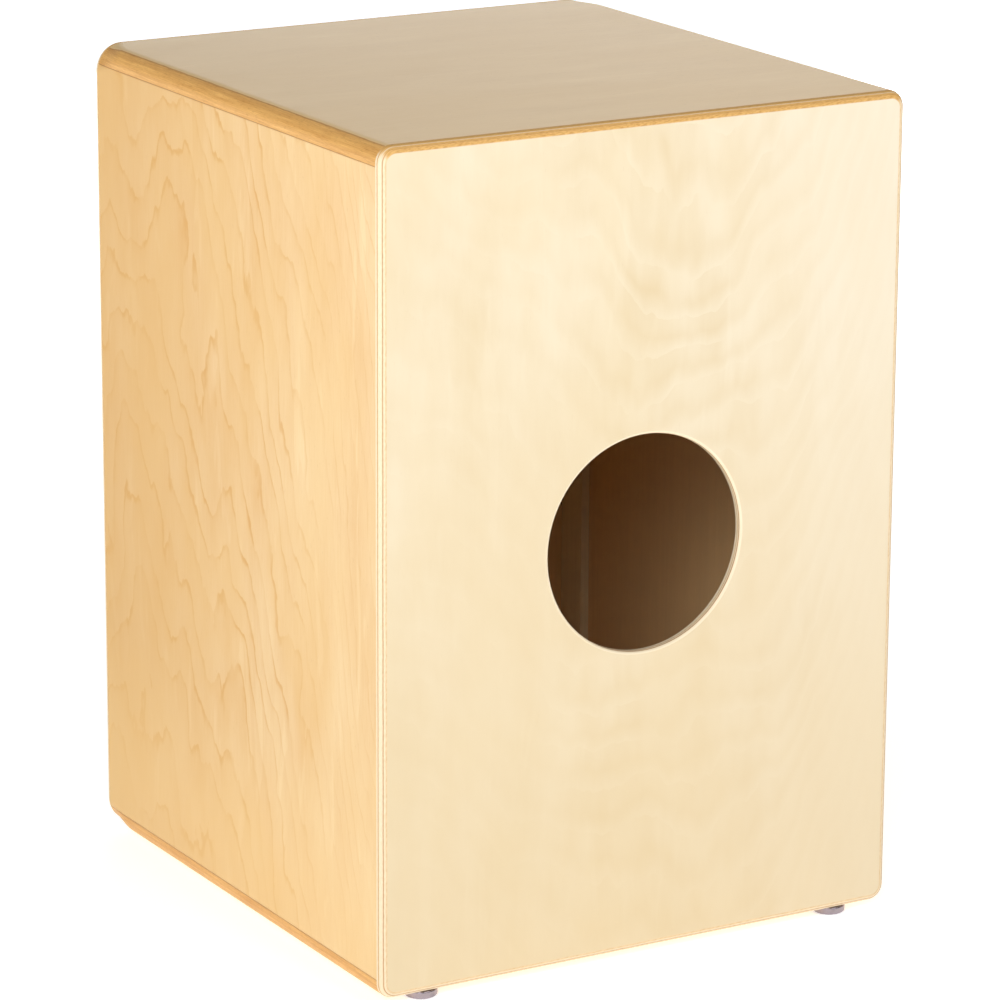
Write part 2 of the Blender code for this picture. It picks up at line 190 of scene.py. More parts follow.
def ease_edges(piece):
    """A hair's breadth of bevel, so that the edges catch the light."""
    bevel = piece.modifiers.new("eased edges", "BEVEL")
    bevel.width = EASED
    bevel.segments = 1
    bevel.limit_method = "ANGLE"
    bevel.angle_limit = SHARP_ANGLE


def corner_radius(y):
    """The box's corner radius along its depth: larger at the tapa, easing to the rear one."""
    share = min(max((y - BOARD_FRONT_Y) / CORNER_BLEND, 0.0), 1.0)
    eased = share * share * (3 - 2 * share)
    return FRONT_CORNER + (REAR_CORNER - FRONT_CORNER) * eased


def outer_x(y, z):
    """Half the box's width at a depth and height, inside its rounded corners too."""
    radius = corner_radius(y)
    into_corner = abs(z - BOX_MIDDLE) - (HALF_HEIGHT - radius)
    if into_corner <= 0:
        return HALF_WIDTH
    return HALF_WIDTH - radius + math.sqrt(max(radius * radius - into_corner * into_corner, 0.0))


def depth_stations():
    """Places along the depth for the boards' outlines, close together where the corners change."""
    blend_steps = 16
    blend = [BOARD_FRONT_Y + CORNER_BLEND * k / blend_steps for k in range(blend_steps + 1)]
    straight_steps = 6
    start = blend[-1]
    rest = [start + (BOARD_REAR_Y - start) * k / straight_steps for k in range(1, straight_steps + 1)]
    return blend + rest


def end_board_ring(y, joint_z, sign):
    """The top or bottom board's outline at one depth. sign is 1 for the top board."""
    steps = 20
    past_joint = 0.3  # degrees round the corner, so that no two points coincide
    radius = corner_radius(y)
    thickness = abs(BOX_MIDDLE + sign * HALF_HEIGHT - joint_z)
    start = math.degrees(math.asin(max(radius - thickness, 0.0) / radius)) + past_joint
    corner = (HALF_WIDTH - radius, HALF_HEIGHT - radius)
    right = [(outer_x(y, joint_z), abs(joint_z - BOX_MIDDLE))] + arc(corner, radius, start, 90, steps)
    outline = right + [(-x, up) for x, up in reversed(right)]
    return [(x, y, BOX_MIDDLE + sign * up) for x, up in outline]


def side_panel_ring(y, side):
    """A side panel's outline at one depth. side is 1 for the +X panel."""
    low, high = BOTTOM_HIGH.z + JOINT, TOP_LOW.z - JOINT
    steps = 10
    lower = [low + (BOX_BOTTOM + FRONT_CORNER - low) * k / steps for k in range(steps + 1)]
    upper = [high - (z - low) for z in reversed(lower)]
    outer = [(outer_x(y, z), z) for z in lower + upper]
    outline = [(SIDE_INNER_X, low)] + outer + [(SIDE_INNER_X, high)]
    return [(side * x, y, z) for x, z in outline]


def panel_outline(inset, corner):
    """(x, up) points of the box's outline, inset by a distance. Their count is the same for any inset."""
    corner_steps = 16
    centre_x, centre_up = HALF_WIDTH - corner, HALF_HEIGHT - corner
    radius = corner - inset
    side_steps = 40
    end_steps = 30
    points = []
    for quarter, (side, end) in enumerate(((1, 1), (-1, 1), (-1, -1), (1, -1))):
        start = 90 * quarter
        points += arc((side * centre_x, end * centre_up), radius, start, start + 90, corner_steps)
        last = points[-1]
        if quarter % 2 == 0:
            following = (-last[0], last[1])
            count = end_steps
        else:
            following = (last[0], -last[1])
            count = side_steps
        for k in range(1, count):
            share = k / count
            points.append(tuple(a + (b - a) * share for a, b in zip(last, following)))
    return points


def panel_rings(near_y, far_y, corner, edge):
    """Rings of a sheet's rim, from the back of its edge round to the flat of its face at far_y."""
    turn_steps = 12
    sign = 1 if far_y > near_y else -1
    rings = [(BACK_CHAMFER, near_y), (0.0, near_y + sign * BACK_CHAMFER)]
    for across, up in arc((0, 0), edge, 0, 90, turn_steps):
        rings.append((edge - across, far_y - sign * (edge - up)))
    rings.append((edge + SUPPORT, far_y))
    return [[(x, y, BOX_MIDDLE + up) for x, up in panel_outline(inset, corner)] for inset, y in rings]


def hole_ring(radius, y, outline):
    """A ring of the sound hole whose points lie in line with the outline's."""
    angles = [math.atan2(up, x) for x, up in outline]
    return [(radius * math.cos(a), y, BOX_MIDDLE + radius * math.sin(a)) for a in angles]


# ---------------------------------------------------------------- materials


class Graph:
    """A material's nodes. Each method adds one node and returns its output."""

    def __init__(self, name):
        self.material = bpy.data.materials.new(name)
        self.material.use_nodes = True
        self.tree = self.material.node_tree
        self.shader = self.tree.nodes["Principled BSDF"]

    def put(self, socket, value):
        """Links a node's output to a socket, or sets the socket to a number or a colour."""
        if isinstance(value, bpy.types.NodeSocket):
            self.tree.links.new(value, socket)
        else:
            socket.default_value = value

    def add(self, kind, values=None, output=0, **settings):
        node = self.tree.nodes.new("ShaderNode" + kind)
        for key, value in settings.items():
            setattr(node, key, value)
        for key, value in (values or {}).items():
            self.put(node.inputs[key], value)
        return node.outputs[output]

    def math(self, operation, first, second=0.0, clamp=False):
        return self.add("Math", {0: first, 1: second}, operation=operation, use_clamp=clamp)

    def plus(self, first, second):
        return self.math("ADD", first, second)

    def minus(self, first, second):
        return self.math("SUBTRACT", first, second)

    def times(self, first, second):
        return self.math("MULTIPLY", first, second)

    def coordinates(self, kind):
        """x, y and z of one of the surface's own coordinates."""
        node = self.tree.nodes.new("ShaderNodeSeparateXYZ")
        self.put(node.inputs[0], self.add("TexCoord", output=kind))
        return node.outputs[0], node.outputs[1], node.outputs[2]

    def position(self):
        """x, y and z in metres."""
        return self.coordinates("Object")

    def facing(self):
        """x, y and z of the direction that the surface faces."""
        return self.coordinates("Normal")

    def vector(self, x, y, z=0.0):
        return self.add("CombineXYZ", {0: x, 1: y, 2: z})

    def stretched(self, point, x, y, seed=0.0):
        """The wood's point with each axis divided by a feature size, in metres."""
        across, along = point
        return self.vector(self.math("DIVIDE", across, x), self.math("DIVIDE", along, y), seed)

    def noise(self, vector, detail=2.0, roughness=0.5, distortion=0.0):
        values = {"Vector": vector, "Scale": 1.0, "Detail": detail}
        values.update({"Roughness": roughness, "Distortion": distortion})
        return self.add("TexNoise", values)

    def centred_noise(self, vector, size, detail=2.0, roughness=0.5, distortion=0.0):
        """Noise about zero, reaching about plus and minus half of size."""
        return self.times(self.minus(self.noise(vector, detail, roughness, distortion), 0.5), size)

    def step(self, value, low, high, to_low=0.0, to_high=1.0):
        """A smooth step between two values."""
        values = {"Value": value, "From Min": low, "From Max": high, "To Min": to_low, "To Max": to_high}
        return self.add("MapRange", values, interpolation_type="SMOOTHSTEP", clamp=True)

    def mix(self, share, first, second):
        """A colour between two colours. A Mix node's colours are its inputs 6 and 7 and its output 2."""
        values = {0: share, 6: first, 7: second}
        return self.add("Mix", values, output=2, data_type="RGBA", clamp_factor=True)

    def bump(self, height, strength, distance):
        values = {"Height": height, "Strength": strength, "Distance": distance}
        return self.add("Bump", values)

    def finish(self, colour, roughness, metallic=0.0, normal=None, specular=0.5):
        """Feeds the shader and returns the material."""
        self.put(self.shader.inputs["Base Color"], colour)
        self.put(self.shader.inputs["Roughness"], roughness)
        self.shader.inputs["Metallic"].default_value = metallic
        self.shader.inputs["Specular IOR Level"].default_value = specular
        if normal is not None:
            self.put(self.shader.inputs["Normal"], normal)
        return self.material


def linear(value):
    """A colour channel written as it looks, 0 to 255, as the linear value that a shader takes."""
    value /= 255
    return value / 12.92 if value <= 0.04045 else ((value + 0.055) / 1.055) ** 2.4


def srgb(red, green, blue):
    """A shader's colour from red, green and blue as they look, 0 to 255."""
    return (linear(red), linear(green), linear(blue), 1.0)


def darker(colour, share):
    """A share of a linear colour."""
    return tuple(channel * share for channel in colour[:3]) + (1.0,)


def growth_lines(g, point, look):
    """Nested arches of growth: dark towards each line, then a fall to the next pale band."""
    across, along = point
    seed = look["seed"]
    offset = g.minus(across, look["centre"])
    leaning = g.times(g.math("MINIMUM", offset, 0.0), look["lean"])
    reach = g.plus(g.math("MAXIMUM", offset, 0.0), leaning)
    arch = g.plus(g.times(along, look["direction"]), g.times(g.times(reach, reach), look["curve"]))
    warps = (
        g.centred_noise(g.stretched(point, 0.085, 0.24, seed), look["warp"], 1.0),
        g.centred_noise(g.stretched(point, 0.026, 0.075, seed + 3), look["warp"] * 0.34, 2.0),
        g.centred_noise(g.stretched(point, 0.008, 0.018, seed + 4), look["ragged"], 2.0),
        g.centred_noise(g.stretched(point, 0.0025, 0.012, seed + 5), look["ragged"] * 0.32, 2.0, 0.6),
    )
    phase = g.math("DIVIDE", arch, look["spacing"])
    for warp in warps:
        phase = g.plus(phase, warp)
    ring = g.math("FRACT", phase)
    fall = g.step(ring, 1.0 - look["soft"], 1.0, 1.0, 0.0)
    body = g.times(g.math("POWER", ring, 2.2), fall)
    line = g.times(g.step(ring, 0.80, 1.0 - look["soft"]), fall)
    broken = g.step(g.noise(g.stretched(point, 0.022, 0.070, seed + 7), 2.0), 0.38, 0.64)
    quiet = g.step(g.math("ABSOLUTE", offset), look["quiet"][0], look["quiet"][1], 1.0, 0.30)
    strength = g.plus(g.times(body, look["body"]), g.times(g.times(line, broken), look["line"]))
    return g.times(strength, quiet)


def veneer(g, point, look):
    """Peeled birch veneer: growth lines, soft patches, pale ribbons, fibres and short pores."""
    across, along = point
    seed = look["seed"]
    patch = g.noise(g.stretched(point, 0.034, 0.12, seed + 11), 3.0, 0.55)
    ribbon = g.noise(g.stretched(point, 0.016, 0.10, seed + 12), 3.0, 0.55, 0.6)
    pale = g.times(g.step(ribbon, 0.58, 0.66), look["ribbon"])
    fibre = g.noise(g.stretched(point, 0.0014, 0.035, seed + 13), 3.0, 0.6)
    hair = g.noise(g.stretched(point, 0.0005, 0.011, seed + 17), 2.0, 0.6)
    pores = g.step(g.noise(g.stretched(point, 0.0007, 0.0050, seed + 19), 1.0), 0.68, 0.78)
    figure = growth_lines(g, point, look)
    for layer, strength in ((patch, look["patch"]), (fibre, look["fibre"]), (hair, look["hair"])):
        figure = g.plus(figure, g.times(g.minus(layer, 0.5), strength))
    figure = g.math("ADD", g.minus(figure, pale), look["base"], clamp=True)
    colour = g.mix(figure, look["light"], look["dark"])
    tint = g.step(g.noise(g.stretched(point, 0.07, 0.16, seed + 23), 2.0), 0.35, 0.65)
    colour = g.mix(g.times(tint, look["tint"]), colour, look["warm"])
    colour = g.mix(g.times(pores, look["pores"]), colour, look["pore_colour"])
    # Drifts blend tones in across a whole face. The side panels' darkening towards the tapa, and the rear
    # panel's and the tapa's darkening towards the bottom, are painted shade.
    for axis, start, end, share, tone in look["drifts"]:
        drift = g.step(across if axis == "across" else along, start, end, 0.0, share)
        colour = g.mix(drift, colour, tone)
    height = g.plus(g.times(hair, 0.5), g.times(fibre, 0.5))
    height = g.minus(height, g.times(pores, 0.5))
    return colour, height


def golden_edge(g, point, depth, seed):
    """The cut edge of the thick boards: golden core plies with fine streaks along the board."""
    streak = g.noise(g.stretched(point, 0.00045, 0.024, seed), 4.0, 0.7)
    dash = g.step(g.noise(g.stretched(point, 0.00040, 0.005, seed + 2), 2.0, 0.6), 0.52, 0.70)
    cloud = g.noise(g.stretched(point, 0.003, 0.05, seed + 4), 3.0, 0.5)
    wobble = g.centred_noise(g.stretched(point, 0.02, 0.02, seed + 6), 0.0008)
    layer = g.math("FRACT", g.math("DIVIDE", g.plus(depth, wobble), 0.0028))
    half = g.step(g.math("ABSOLUTE", g.minus(layer, 0.5)), 0.18, 0.32)
    shade = g.plus(g.times(g.minus(streak, 0.5), 1.9), g.times(g.minus(cloud, 0.5), 1.1))
    shade = g.math("ADD", shade, 0.42, clamp=True)
    colour = g.mix(shade, srgb(240, 190, 112), srgb(198, 138, 66))
    colour = g.mix(g.times(half, 0.30), colour, srgb(206, 148, 74))
    colour = g.mix(g.times(dash, 0.35), colour, srgb(170, 112, 52))
    return colour, g.plus(g.times(streak, 0.6), g.times(dash, 0.4))


# How each veneer looks. The growth arches have a centre line across the grain, a curve, a lean that makes one
# side steeper, a direction, a spacing in metres, large warps, ragged small ones, a soft fall after each line,
# and the distances from the centre between which they fade. Body, line, patch, ribbon, fibre, hair, tint and
# pores are strengths. A drift blends a tone in along an axis: from, to, share and tone.
SIDE_LOOK = {
    "seed": 2.0, "centre": -0.128, "lean": 1.0, "curve": 7.0, "direction": 1.0, "spacing": 0.046,
    "warp": 5.4, "ragged": 0.40, "soft": 0.05, "quiet": (0.14, 0.26), "body": 0.22, "line": 0.55,
    "patch": 0.85, "ribbon": 0.16, "fibre": 0.26, "hair": 0.24, "base": 0.38,
    "light": srgb(240, 215, 168), "dark": srgb(214, 160, 88), "warm": srgb(230, 191, 124), "tint": 0.40,
    "pores": 0.25, "pore_colour": srgb(178, 126, 66),
    # Painted shade: the first drift darkens the side towards the tapa, so that its rear part looks lit. The
    # second blends a golden tone in towards the bottom.
    "drifts": (
        ("across", 0.16, -0.18, 0.62, srgb(206, 157, 78)),
        ("along", 0.16, 0.03, 0.40, srgb(240, 204, 140)),
    ),
}
REAR_LOOK = {
    "seed": 31.0, "centre": -0.045, "lean": 2.4, "curve": 2.4, "direction": -1.0, "spacing": 0.031,
    "warp": 3.8, "ragged": 0.16, "soft": 0.50, "quiet": (0.05, 0.12), "body": 0.80, "line": 0.24,
    "patch": 1.00, "ribbon": 0.08, "fibre": 0.10, "hair": 0.08, "base": 0.36,
    "light": srgb(234, 222, 197), "dark": srgb(217, 195, 154), "warm": srgb(226, 207, 170), "tint": 0.45,
    "pores": 0.10, "pore_colour": srgb(190, 160, 116),
    # Painted shade: the second drift darkens the rear panel towards the bottom, so that its top looks whiter
    # where the light falls. The first makes it paler and greyer towards -X.
    "drifts": (
        ("across", 0.03, -0.17, 0.42, srgb(238, 229, 212)),
        ("along", 0.46, 0.02, 0.54, srgb(226, 202, 158)),
    ),
}
TOP_LOOK = {
    "seed": 57.0, "centre": 0.030, "lean": 1.0, "curve": 5.0, "direction": 1.0, "spacing": 0.075,
    "warp": 4.0, "ragged": 0.30, "soft": 0.20, "quiet": (0.10, 0.20), "body": 0.06, "line": 0.05,
    "patch": 0.65, "ribbon": 0.10, "fibre": 0.34, "hair": 0.26, "base": 0.40,
    "light": srgb(250, 218, 163), "dark": srgb(226, 186, 125), "warm": srgb(238, 200, 137), "tint": 0.35,
    "pores": 0.42, "pore_colour": srgb(180, 140, 88),
    "drifts": (("along", -0.175, 0.175, 0.35, srgb(218, 184, 126)),),
}


def lacquer(g, colour, height, fine_roughness=0.36):
    """Satin lacquer that lets the grain stand out slightly."""
    smear = g.noise(g.add("TexCoord", output="Object"), 3.0)
    roughness = g.plus(g.times(height, 0.10), g.plus(fine_roughness, g.times(smear, 0.04)))
    normal = g.bump(height, 0.10, 0.0002)
    return g.finish(colour, roughness, normal=normal, specular=0.35)


def side_panel_material(name, other_leaf):
    """Veneer with its grain upright. The two side panels are cut from different leaves."""
    g = Graph(name)
    _, y, z = g.position()
    look = dict(SIDE_LOOK)
    if other_leaf:
        look.update(seed=83.0, centre=0.040, curve=6.0)
    colour, height = veneer(g, (y, z), look)
    return lacquer(g, colour, height)


def end_board_material(name, sign, seed):
    """Veneer on the flat of the top or bottom board, and golden core where its long edges are rounded."""
    g = Graph(name)
    x, y, z = g.position()
    colour, height = veneer(g, (y, x), dict(TOP_LOOK, seed=seed))
    outer = BOX_TOP if sign > 0 else BOX_BOTTOM
    depth = g.math("ABSOLUTE", g.minus(z, outer))
    edge, edge_height = golden_edge(g, (z, y), depth, seed + 40)
    wander = g.centred_noise(g.stretched((x, y), 0.03, 0.009, seed), 0.0009, 3.0)
    start = g.step(y, TAPA_LOW.y, BOARD_FRONT_Y + CORNER_BLEND, VENEER_EDGE_FRONT, VENEER_EDGE)
    past = g.minus(g.plus(g.math("ABSOLUTE", x), wander), start)
    cut = g.step(past, 0.0, 0.0003)
    line = g.times(cut, g.step(past, 0.0004, 0.0014, 1.0, 0.0))
    edge = g.mix(g.times(line, 0.55), edge, srgb(172, 112, 60))
    joint = g.step(depth, BOARD - 0.0006, BOARD - 0.0002)
    edge = g.mix(g.times(joint, 0.75), edge, srgb(142, 92, 46))
    colour = g.mix(cut, colour, edge)
    height = g.plus(g.times(height, g.minus(1.0, cut)), g.times(edge_height, cut))
    return lacquer(g, colour, height, 0.38)


def band(g, value, low, high):
    """1 between two values, softly falling to 0 outside."""
    soft = 0.08
    return g.times(g.step(value, low - soft, low + soft), g.step(value, high - soft, high + soft, 1.0, 0.0))


def ply_edge(g, layer, level, at_hole, grit):
    """The colours of thin plywood's cut edge, whose layers are counted in plies from the outer face.

    Upright edges are cream, level ones golden, and the sound hole's rim is pale with two darker plies. Edges
    that face down take the upright edges' cream, and only those that face up the golden colour: painted
    light. The rim's pale ground is a painted highlight.
    """
    speck = g.step(grit, 0.35, 0.70)
    cream = g.mix(speck, srgb(238, 221, 190), srgb(228, 205, 166))
    golden = g.mix(speck, srgb(224, 178, 106), srgb(200, 148, 78))
    brown = g.mix(speck, srgb(190, 138, 80), srgb(168, 118, 64))
    upright = g.mix(g.times(band(g, layer, 2.85, 3.45), 0.90), cream, g.mix(0.6, golden, brown))
    upright = g.mix(g.times(band(g, layer, 0.55, 0.90), 0.80), upright, brown)
    upright = g.mix(g.times(band(g, layer, -0.10, 0.16), 0.45), upright, golden)
    lying = g.mix(g.times(band(g, layer, 1.55, 2.15), 0.60), golden, cream)
    lying = g.mix(g.times(g.step(layer, 2.2, 2.8), 0.14), lying, brown)
    lying = g.mix(g.times(band(g, layer, 0.70, 1.00), 0.45), lying, brown)
    # Painted highlight: the rim's pale ground is paler than the cream of the other edges, so that the hole's
    # rim looks lit all round.
    rim = g.mix(g.times(band(g, layer, 0.90, 1.50), 0.85), srgb(242, 225, 194), brown)
    rim = g.mix(g.times(band(g, layer, 2.40, 3.00), 0.75), rim, golden)
    return g.mix(at_hole, g.mix(level, upright, lying), rim)


def thin_panel_material(name, look, face_y, ply_thickness):
    """Thin plywood: veneer on its faces, and its plies round its edges and the sound hole."""
    g = Graph(name)
    x, y, z = g.position()
    face_x, _, face_z = g.facing()
    sideways = g.math("ABSOLUTE", face_x)
    # Painted light: faces that point down count for much less towards the level share than faces that point
    # up, so that the bottom edges keep the upright edges' cream colours while the top edges turn golden.
    level_share_with_painted_light = g.plus(g.math("MAXIMUM", face_z, 0.0), g.times(g.math("ABSOLUTE", face_z), 0.35))
    colour, height = veneer(g, (x, z), look)
    depth = g.math("ABSOLUTE", g.minus(y, face_y))
    wobble = g.centred_noise(g.stretched((g.plus(x, y), z), 0.03, 0.03, look["seed"]), 0.0002)
    layer = g.math("DIVIDE", g.plus(depth, wobble), ply_thickness)
    tilt = g.plus(sideways, g.math("ABSOLUTE", face_z))
    on_edge = g.step(tilt, 0.03, 0.14)
    level = g.step(g.math("DIVIDE", level_share_with_painted_light, g.plus(tilt, 0.0001)), 0.35, 0.80)
    grit = g.noise(g.stretched((g.plus(x, z), y), 0.0030, 0.00020), 3.0, 0.6)
    height_off = g.minus(z, BOX_MIDDLE)
    out = g.math("SQRT", g.plus(g.times(x, x), g.times(height_off, height_off)))
    at_hole = g.step(out, HOLE_RADIUS + RIM_COLOUR_FULL, HOLE_RADIUS + RIM_COLOUR_END, 1.0, 0.0)
    colour = g.mix(on_edge, colour, ply_edge(g, layer, level, at_hole, grit))
    height = g.plus(g.times(height, g.minus(1.0, on_edge)), g.times(grit, on_edge))
    return lacquer(g, colour, height)


def inner_wood_material(name, seed, tone):
    """Bare wood on the inside of the box."""
    g = Graph(name)
    x, y, z = g.position()
    point = (g.plus(x, y), z)
    streak = g.noise(g.stretched(point, 0.004, 0.12, seed), 4.0, 0.6)
    hair = g.noise(g.stretched(point, 0.0006, 0.02, seed + 2), 3.0, 0.6)
    colour = g.mix(g.step(streak, 0.3, 0.7), tone, darker(tone, 0.95))
    colour = g.mix(g.times(g.step(hair, 0.4, 0.8), 0.15), colour, darker(tone, 0.75))
    normal = g.bump(hair, 0.2, 0.0002)
    return g.finish(colour, 0.62, normal=normal)


def metal_material(name, colour, roughness):
    """Metal with faint machining lines and uneven polish."""
    wear = 0.06
    cloud_size = 0.006
    g = Graph(name)
    x, y, z = g.position()
    lines = g.noise(g.stretched((g.plus(x, y), z), 0.004, 0.0004), 2.0)
    cloud = g.noise(g.vector(*(g.math("DIVIDE", value, cloud_size) for value in (x, y, z))), 3.0)
    shade = g.mix(g.step(cloud, 0.4, 0.75), colour, darker(colour, 0.82))
    rough = g.plus(roughness, g.plus(g.times(cloud, wear), g.times(lines, wear)))
    return g.finish(shade, rough, metallic=1.0, normal=g.bump(lines, 0.05, 0.0001))


# ---------------------------------------------------------------- the box


def assign_inner(piece, inner_test):
    """Gives the second material to the faces whose centre passes the test."""
    for polygon in piece.data.polygons:
        if inner_test(polygon):
            polygon.material_index = 1


def make_boards(inner):
    """The four thick boards."""
    stations = depth_stations()
    for name, joint_z, sign, seed in (
        ("top_board", TOP_LOW.z, 1, 57.0),
        ("bottom_board", BOTTOM_HIGH.z, -1, 71.0),
    ):
        material = end_board_material(name + "_wood", sign, seed)
        shape = loft([end_board_ring(y, joint_z, sign) for y in stations])
        piece = new_piece(name + "_visual", shape, [material, inner])
        assign_inner(piece, lambda p, s=sign: p.normal.z * s < -0.9)
        ease_edges(piece)
        if sign < 0:
            cut_bush_holes(piece)
        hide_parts(name)
    for name, side in (("side_panel_left", 1), ("side_panel_right", -1)):
        material = side_panel_material(name + "_wood", side < 0)
        shape = loft([side_panel_ring(y, side) for y in stations])
        piece = new_piece(name + "_visual", shape, [material, inner])
        assign_inner(piece, lambda p, s=side: p.normal.x * s < -0.9)
        ease_edges(piece)
        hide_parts(name)


def cut_away(piece, cutter, shape):
    """Takes a bmesh's shape out of a piece and keeps the new rims sharp."""
    tool = new_piece(cutter, shape, [], None)
    cut = piece.modifiers.new("cut", "BOOLEAN")
    cut.operation = "DIFFERENCE"
    cut.object = tool
    cut.solver = "EXACT"
    bpy.context.view_layer.update()
    graph = bpy.context.evaluated_depsgraph_get()
    mesh = bpy.data.meshes.new_from_object(piece.evaluated_get(graph))
    mesh.set_sharp_from_angle(angle=SHARP_ANGLE)
    piece.modifiers.clear()
    piece.data = mesh
    bpy.data.objects.remove(tool)


def cut_bush_holes(piece):
    """Opens the bottom board round the two bushes."""
    shape = bmesh.new()
    for name in ("bolt_bush_left", "bolt_bush_right"):
        low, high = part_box(name)
        hole = circle(((low + high) / 2).xy, BUSH_HOLE, 48)
        levels = (BOX_BOTTOM - CUT_PAST, BOTTOM_HIGH.z + CUT_PAST)
        add_solid(shape, [[(x, y, z) for x, y in hole] for z in levels])
    cut_away(piece, "bush_hole_cutter", shape)


def make_rear_panel(inner):
    """The thin rear panel with its sound hole."""
    back_y, face_y = REAR_LOW.y, REAR_HIGH.y
    outline = panel_outline(0.0, REAR_CORNER)
    rings = panel_rings(back_y, face_y, REAR_CORNER, REAR_EDGE)
    wide = HOLE_RADIUS + HOLE_RIM
    narrow = HOLE_RADIUS + HOLE_BACK_RIM
    hole = [(wide + SUPPORT, face_y)]
    hole += arc((wide, face_y - HOLE_RIM), HOLE_RIM, 90, 180, 8)
    hole += arc((narrow, back_y + HOLE_BACK_RIM), HOLE_BACK_RIM, 180, 270, 6)
    hole += [(narrow + SUPPORT, back_y)]
    rings += [hole_ring(radius, y, outline) for radius, y in hole]
    material = thin_panel_material("rear_panel_wood", REAR_LOOK, face_y, (face_y - back_y) / 5)
    piece = new_piece("rear_panel_visual", loft(rings, wrapped=True), [material, inner])
    assign_inner(piece, lambda p: p.normal.y < -0.99)
    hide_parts("rear_panel")


def make_tapa(inner):
    """The thin playing face, with a countersunk hole for each screw."""
    back_y, face_y = TAPA_HIGH.y, TAPA_LOW.y
    rings = panel_rings(back_y, face_y, FRONT_CORNER, TAPA_EDGE)
    # The tapa takes the rear panel's drifts, with their painted shade that darkens it towards the bottom.
    look = dict(REAR_LOOK, seed=97.0, centre=-0.03)
    material = thin_panel_material("tapa_wood", look, face_y, (back_y - face_y) / 3)
    piece = new_piece("tapa_visual", loft(rings), [material, inner])
    assign_inner(piece, lambda p: p.normal.y > 0.99)
    shape = bmesh.new()
    for name in node_names("tapa_screw"):
        low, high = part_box(name)
        centre = (low + high) / 2
        seat = (high.x - low.x) / 2 + SCREW_SEAT_GAP
        levels = (
            (seat, face_y - CUT_PAST),
            (seat, face_y + 0.0001),
            (SCREW_SHANK_HOLE, face_y + SCREW_HEAD_DEPTH + 0.0001),
            (SCREW_SHANK_HOLE, back_y + CUT_PAST),
        )
        add_solid(shape, [[(x, y, z) for x, z in circle(centre.xz, radius, 32)] for radius, y in levels])
    cut_away(piece, "tapa_hole_cutter", shape)
    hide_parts("tapa")


def cross_recess():
    """A cross-shaped prism that narrows with depth, for a screw whose head is flat at y 0."""
    depth = 0.0013
    reach = 0.0020
    half = 0.00045
    outline = []
    for quarter in range(4):
        turn = math.radians(90 * quarter)
        for along, across in ((half, half), (reach, half), (reach, -half)):
            x = along * math.cos(turn) + across * math.sin(turn)
            z = -along * math.sin(turn) + across * math.cos(turn)
            outline.append((x, z))
    levels = ((1.15, -0.0004), (1.0, 0.0), (0.45, depth))
    return loft([[(x * scale, y, z * scale) for x, z in outline] for scale, y in levels])


def make_tapa_screws(metal):
    """Countersunk screws with a cross recess. All are one mesh, moved to each place."""
    names = node_names("tapa_screw")
    low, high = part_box(names[0])
    head = (high.x - low.x) / 2
    length = high.y - low.y
    profile = (
        (head * 0.96, 0.0),
        (head, 0.00012),
        (head, SCREW_HEAD_EDGE),
        (SCREW_SHANK, SCREW_HEAD_DEPTH),
        (SCREW_SHANK, length - SCREW_POINT),
        (SCREW_TIP, length),
    )
    shape = loft([[(x, depth, z) for x, z in circle((0, 0), radius, 32)] for radius, depth in profile])
    first = new_piece(names[0] + "_visual", shape, [metal], None)
    cut_away(first, "recess_cutter", cross_recess())
    head_y = low.y
    for number, name in enumerate(names):
        piece = first if number == 0 else first.copy()
        piece.name = name + "_visual"
        if number:
            bpy.context.scene.collection.objects.link(piece)
        low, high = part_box(name)
        centre = (low + high) / 2
        turn = Matrix.Rotation(math.radians(37 * number % 90), 4, "Y")
        piece.matrix_world = Matrix.Translation((centre.x, head_y, centre.z)) @ turn
        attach(piece, "box")
        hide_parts(name)


def make_feet(metal):
    """Domed glides. Their skirt rolls under the board, their bottom edge is rounded and their bottom is flat.
    """
    top = BOX_BOTTOM - 0.00003  # just clear of the board
    rolled = 0.0011
    rounding = 0.0015
    straight = 0.0001  # keeps the skirt's side upright between its two rounded edges
    for name in node_names("foot_"):
        if name.startswith("foot_nail"):
            continue
        low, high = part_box(name)
        centre = (low + high) / 2
        radius = (high.x - low.x) / 2
        profile = arc((radius - rolled, top - rolled), rolled, 90, 0, 10)
        profile += [(radius, top - rolled - straight), (radius, low.z + rounding + straight)]
        profile += arc((radius - rounding, low.z + rounding), rounding, 0, -90, 14)
        profile += [(radius * 0.4, low.z)]
        shape = loft([[(x, y, z) for x, y in circle(centre.xy, wide, 64)] for wide, z in profile])
        piece = new_piece(name + "_visual", shape, [metal])
        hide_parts(name)


def make_strings(metal):
    """Wound strings. Each stretches between its carriage and its anchor."""
    crest, groove = 0.0004, 0.000344
    levels = 160
    for name in node_names("string_left") + node_names("string_right"):
        low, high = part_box(name)
        centre = (low + high) / 2
        rings = []
        for k in range(levels + 1):
            z = low.z + (high.z - low.z) * k / levels
            radius = crest if k % 2 else groove
            rings.append([(x, y, z) for x, y in circle(centre.xy, radius, 12)])
        piece = new_piece(name + "_visual", loft(rings), [metal], None)
        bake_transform(piece)
        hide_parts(name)


def dress_cad_nodes(finishes):
    """Gives the CAD nodes that stay their materials."""
    for prefix, material in finishes:
        for name in node_names(prefix):
            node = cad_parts[name]
            if not node.hide_render:
                node.data.materials.clear()
                node.data.materials.append(material)


# ---------------------------------------------------------------- the stage


